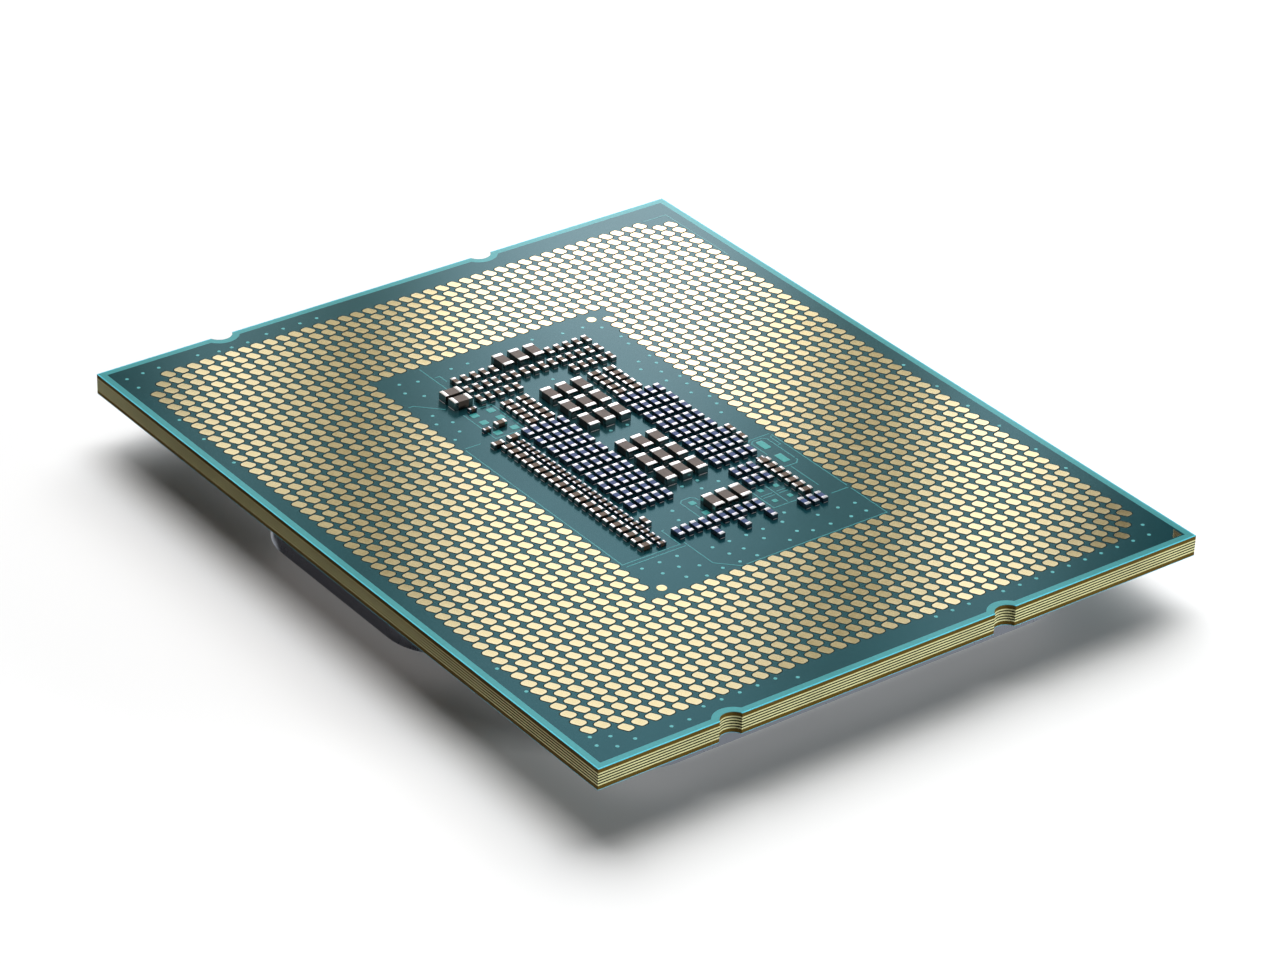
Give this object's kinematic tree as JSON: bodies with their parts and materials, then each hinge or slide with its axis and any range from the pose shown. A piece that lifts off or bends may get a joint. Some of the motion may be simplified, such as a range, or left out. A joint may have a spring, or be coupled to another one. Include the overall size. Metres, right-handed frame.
{
  "type": "cpu processor",
  "caption": "Flat rectangular land-grid processor package with a raised metal heat spreader below and gold contact lands around a field of chip capacitors on top.",
  "frame": {"origin": "centre of the heat spreader's cooler face, which the part rests on, at the middle of the package outline", "axes": "+Z from the heat spreader towards the contact lands, +Y along the package's long side, +X along its short side towards the corner column that carries the gold triangle; the triangle is at +X -Y"},
  "size_m": [0.0376, 0.045, 0.0044],
  "materials": {
    "nickel_plating": "satin nickel plate on copper",
    "sealant": "matt silicone",
    "interface_metal": "soft indium foil",
    "silicon": "polished silicon",
    "solder": "satin solder",
    "underfill": "filled epoxy",
    "solder_mask": "semi-gloss",
    "edge_band": "semi-gloss",
    "buildup": "cut edge",
    "core_ply": "cut glass-epoxy edge",
    "core_plane": "cut edge",
    "gold_plating": "satin gold plate",
    "masked_pad": "semi-gloss",
    "masked_trace": "semi-gloss",
    "ceramic_grey": "fired ceramic",
    "ceramic_brown": "fired ceramic",
    "ceramic_blue": "fired ceramic",
    "tin_plating": "satin tin plate"
  },
  "bodies": {
    "root": {"heat_spreader": "nickel_plating", "heat_spreader_sealant": "sealant", "solder_thermal_interface": "interface_metal", "silicon_die": "silicon", "solder_bumps": "solder", "underfill": "underfill", "die_side_solder_mask": "solder_mask", "die_side_buildup": "buildup", "core_ply_1": "core_ply", "core_ply_2": "core_ply", "core_ply_3": "core_ply", "core_ply_4": "core_ply", "core_ply_5": "core_ply", "core_plane_1": "core_plane", "core_plane_2": "core_plane", "core_plane_3": "core_plane", "core_plane_4": "core_plane", "land_side_buildup": "buildup", "land_side_solder_mask": "solder_mask", "solder_mask_edge_band": "edge_band", "contact_lands_south": "gold_plating", "contact_lands_north": "gold_plating", "contact_lands_west": "gold_plating", "contact_lands_east": "gold_plating", "fiducial_pads": "gold_plating", "pin_one_marker": "gold_plating", "bare_component_pads": "masked_pad", "filled_vias": "masked_pad", "conductor_traces": "masked_trace", "large_capacitor_bodies": "ceramic_grey", "large_capacitor_terminals": "tin_plating", "tall_capacitor_bodies": "ceramic_grey", "tall_capacitor_terminals": "tin_plating", "small_capacitor_bodies": "ceramic_brown", "small_capacitor_terminals": "tin_plating", "slim_capacitor_bodies": "ceramic_blue", "slim_capacitor_terminals": "tin_plating", "lateral_capacitor_bodies": "ceramic_brown", "lateral_capacitor_terminals": "tin_plating", "micro_capacitor_bodies": "ceramic_brown", "micro_capacitor_terminals": "tin_plating", "capacitor_solder_joints": "solder"}
  },
  "joints": []
}
